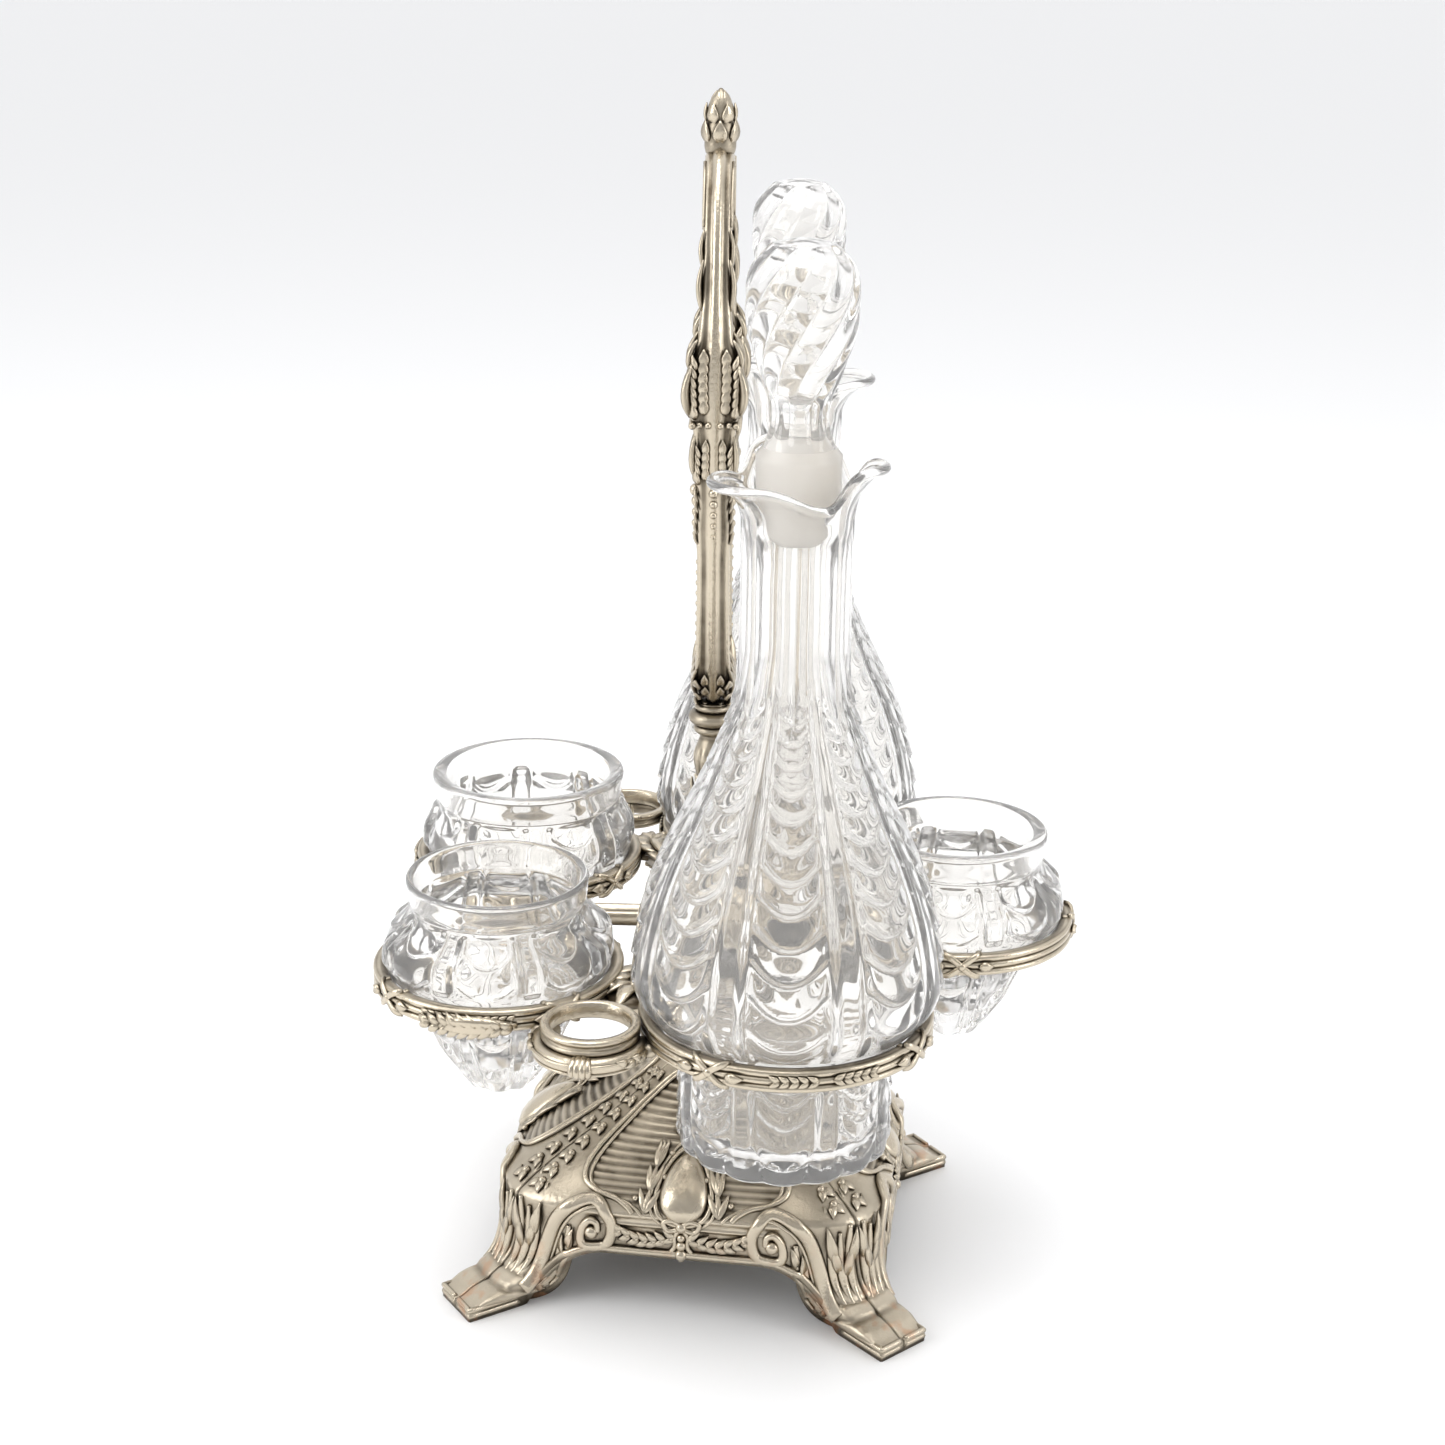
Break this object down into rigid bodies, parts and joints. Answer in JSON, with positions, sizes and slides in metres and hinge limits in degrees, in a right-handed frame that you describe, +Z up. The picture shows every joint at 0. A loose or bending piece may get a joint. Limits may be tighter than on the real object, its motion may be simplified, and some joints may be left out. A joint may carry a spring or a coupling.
{
  "type": "cruet set",
  "caption": "Table cruet set: ornate cast stand with ring tray and loop handle, two stoppered glass bottles and open glass cups.",
  "frame": {"origin": "on the table, on the axis of the central stem", "axes": "+Z up along the stem; -Y towards the side of the single cup (front); +X towards the right-hand bottle"},
  "size_m": [0.211, 0.192, 0.33],
  "materials": {
    "aged_silver": "aged silver plate, soft satin, darker in the recesses",
    "dark_metal": "dull unplated metal",
    "clear_glass": "clear pressed glass",
    "stopper_glass": "clear glass with a ground, frosted plug"
  },
  "bodies": {
    "stand": {"base_panel_right": "aged_silver", "base_panel_back": "aged_silver", "base_panel_left": "aged_silver", "base_panel_front": "aged_silver", "base_washer": "dark_metal", "tie_nut": "dark_metal", "tie_rod": "dark_metal", "column": "aged_silver", "tray_hub": "aged_silver", "tray_arm_front_left": "aged_silver", "tray_arm_front_right": "aged_silver", "tray_arm_left": "aged_silver", "tray_arm_right": "aged_silver", "tray_arm_back": "aged_silver", "bottle_ring_left": "aged_silver", "bottle_ring_right": "aged_silver", "cup_ring_front": "aged_silver", "cup_ring_back_left": "aged_silver", "cup_ring_back_right": "aged_silver", "stopper_rest_left": "aged_silver", "stopper_rest_right": "aged_silver", "rest_bar_left": "aged_silver", "rest_bar_right": "aged_silver", "rest_clasp_left": "aged_silver", "rest_clasp_right": "aged_silver", "rest_leaf_left": "aged_silver", "rest_leaf_right": "aged_silver", "handle_stem": "aged_silver", "handle_knop": "aged_silver", "handle_loop": "aged_silver", "handle_finial": "aged_silver"},
    "bottle_left": {"bottle_left": "clear_glass"},
    "bottle_right": {"bottle_right": "clear_glass"},
    "stopper_left": {"stopper_left": "stopper_glass"},
    "stopper_right": {"stopper_right": "stopper_glass"},
    "cup_front": {"cup_front": "clear_glass"},
    "cup_back_left": {"cup_back_left": "clear_glass"},
    "cup_back_right": {"cup_back_right": "clear_glass"}
  },
  "joints": [
    {"name": "bottle_left_lift", "type": "slide", "parent": "stand", "child": "bottle_left", "axis": [0, 0, 1], "range_m": [0, 0.06]},
    {"name": "bottle_right_lift", "type": "slide", "parent": "stand", "child": "bottle_right", "axis": [0, 0, 1], "range_m": [0, 0.06]},
    {"name": "stopper_left_lift", "type": "slide", "parent": "bottle_left", "child": "stopper_left", "axis": [0, 0, 1], "range_m": [0, 0.06]},
    {"name": "stopper_right_lift", "type": "slide", "parent": "bottle_right", "child": "stopper_right", "axis": [0, 0, 1], "range_m": [0, 0.06]},
    {"name": "cup_front_lift", "type": "slide", "parent": "stand", "child": "cup_front", "axis": [0, 0, 1], "range_m": [0, 0.06]},
    {"name": "cup_back_left_lift", "type": "slide", "parent": "stand", "child": "cup_back_left", "axis": [0, 0, 1], "range_m": [0, 0.06]},
    {"name": "cup_back_right_lift", "type": "slide", "parent": "stand", "child": "cup_back_right", "axis": [0, 0, 1], "range_m": [0, 0.06]}
  ]
}
